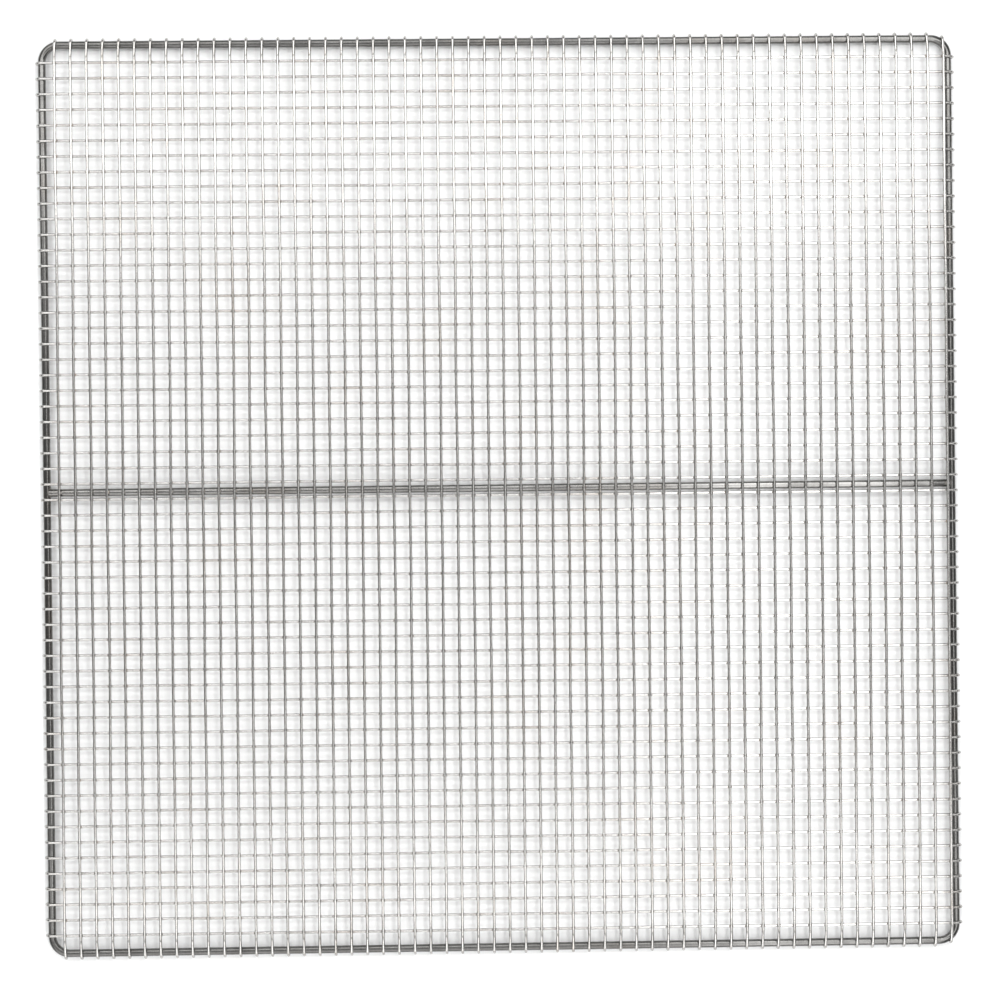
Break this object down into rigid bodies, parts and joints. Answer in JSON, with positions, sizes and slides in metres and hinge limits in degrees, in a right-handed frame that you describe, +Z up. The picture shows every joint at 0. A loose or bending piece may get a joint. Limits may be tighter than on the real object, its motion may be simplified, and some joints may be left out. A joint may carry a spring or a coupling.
{
  "type": "wire mesh screen",
  "caption": "Square welded wire mesh screen: a round-rod rim with rounded corners, one middle stay, and a grid of thin wires with their ends hooked round the rim.",
  "frame": {"origin": "under the middle of the screen, on the surface that its hooked wire ends rest on", "axes": "+Z up, square to the mesh, the line wires on its upper side; +X along the cross wires and the stay, towards the side where the last line wire lies against the rim; +Y along the line wires"},
  "size_m": [0.584, 0.584, 0.0102],
  "materials": {
    "plated_rod": "bright nickel plate on drawn steel rod",
    "plated_wire": "bright nickel plate on drawn steel wire"
  },
  "bodies": {
    "root": {"rim_rod": "plated_rod", "middle_stay": "plated_rod", "line_wires_01": "plated_wire", "line_wires_02": "plated_wire", "line_wires_03": "plated_wire", "line_wires_04": "plated_wire", "line_wires_05": "plated_wire", "line_wires_06": "plated_wire", "line_wires_07": "plated_wire", "line_wires_08": "plated_wire", "line_wires_09": "plated_wire", "line_wires_10": "plated_wire", "line_wires_11": "plated_wire", "line_wires_12": "plated_wire", "line_wires_13": "plated_wire", "line_wires_14": "plated_wire", "line_wires_15": "plated_wire", "line_wires_16": "plated_wire", "line_wires_17": "plated_wire", "line_wires_18": "plated_wire", "line_wires_19": "plated_wire", "line_wires_20": "plated_wire", "line_wires_21": "plated_wire", "line_wires_22": "plated_wire", "line_wires_23": "plated_wire", "line_wires_24": "plated_wire", "line_wires_25": "plated_wire", "line_wires_26": "plated_wire", "line_wires_27": "plated_wire", "line_wires_28": "plated_wire", "line_wires_29": "plated_wire", "cross_wires_01": "plated_wire", "cross_wires_02": "plated_wire", "cross_wires_03": "plated_wire", "cross_wires_04": "plated_wire", "cross_wires_05": "plated_wire", "cross_wires_06": "plated_wire", "cross_wires_07": "plated_wire", "cross_wires_08": "plated_wire", "cross_wires_09": "plated_wire", "cross_wires_10": "plated_wire", "cross_wires_11": "plated_wire", "cross_wires_12": "plated_wire", "cross_wires_13": "plated_wire", "cross_wires_14": "plated_wire", "cross_wires_15": "plated_wire", "cross_wires_16": "plated_wire", "cross_wires_17": "plated_wire", "cross_wires_18": "plated_wire", "cross_wires_19": "plated_wire", "cross_wires_20": "plated_wire", "cross_wires_21": "plated_wire", "cross_wires_22": "plated_wire", "cross_wires_23": "plated_wire", "cross_wires_24": "plated_wire", "cross_wires_25": "plated_wire", "cross_wires_26": "plated_wire", "cross_wires_27": "plated_wire", "cross_wires_28": "plated_wire", "cross_wires_29": "plated_wire"}
  },
  "joints": []
}
